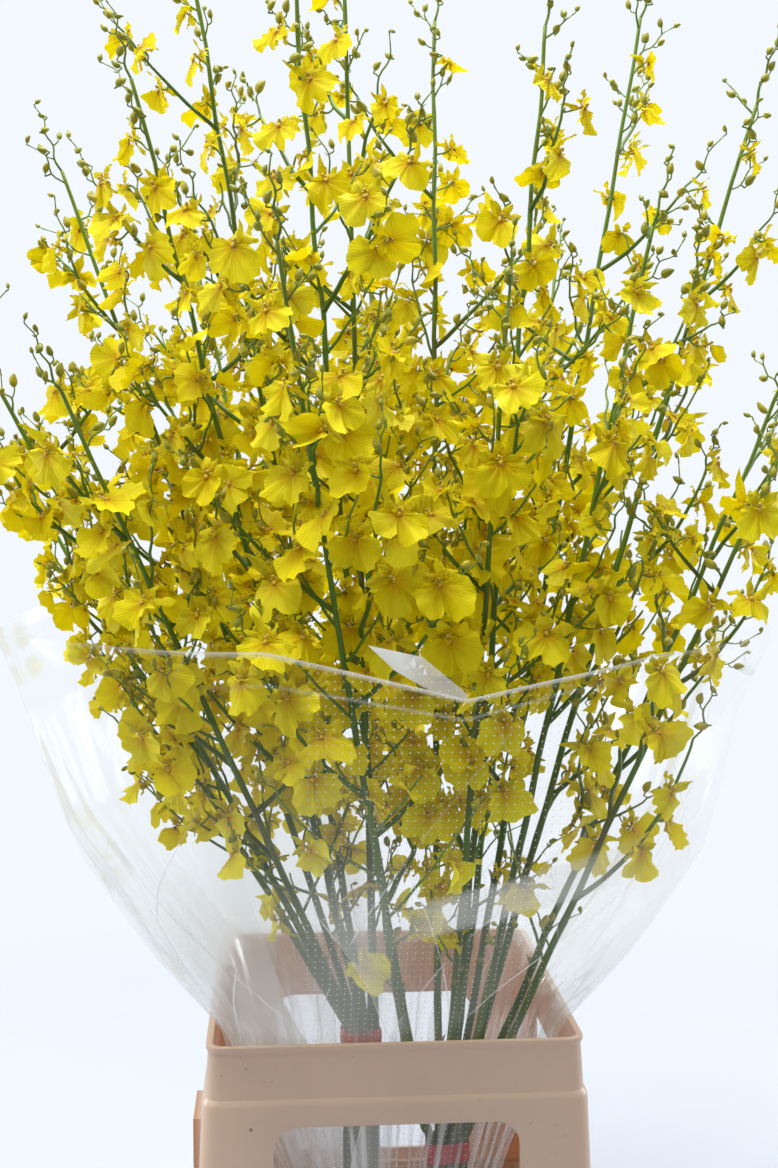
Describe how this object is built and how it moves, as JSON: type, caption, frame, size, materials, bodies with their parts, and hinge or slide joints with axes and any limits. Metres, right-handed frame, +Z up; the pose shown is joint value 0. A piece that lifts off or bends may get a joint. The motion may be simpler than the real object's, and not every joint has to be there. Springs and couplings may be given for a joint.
{
  "type": "bunch of oncidium orchid sprays in a flower bucket",
  "caption": "Bunch of cut yellow oncidium orchid sprays in a clear film sleeve, standing in water in a square tan flower bucket with a windowed collar.",
  "frame": {"origin": "middle of the bucket's underside, on the floor it stands on", "axes": "+Z up along the bunch, -Y towards the front of the container, +X to its right seen from the front"},
  "size_m": [0.5815, 0.5055, 1.043],
  "materials": {
    "container_plastic": "satin, slightly worn",
    "water": "clear water",
    "band_red": "matte tape",
    "clear_film": "thin clear glossy film",
    "spray": "soft petals, silky"
  },
  "bodies": {
    "root": {"bucket": "container_plastic", "collar": "container_plastic", "water": "water", "band_right": "band_red", "band_left": "band_red", "sleeve": "clear_film", "spray_01": "spray", "spray_02": "spray", "spray_03": "spray", "spray_04": "spray", "spray_05": "spray", "spray_06": "spray", "spray_07": "spray", "spray_08": "spray", "spray_09": "spray", "spray_10": "spray", "spray_11": "spray", "spray_12": "spray", "spray_13": "spray", "spray_14": "spray", "spray_15": "spray", "spray_16": "spray", "spray_17": "spray", "spray_18": "spray", "spray_19": "spray", "spray_20": "spray"}
  },
  "joints": []
}
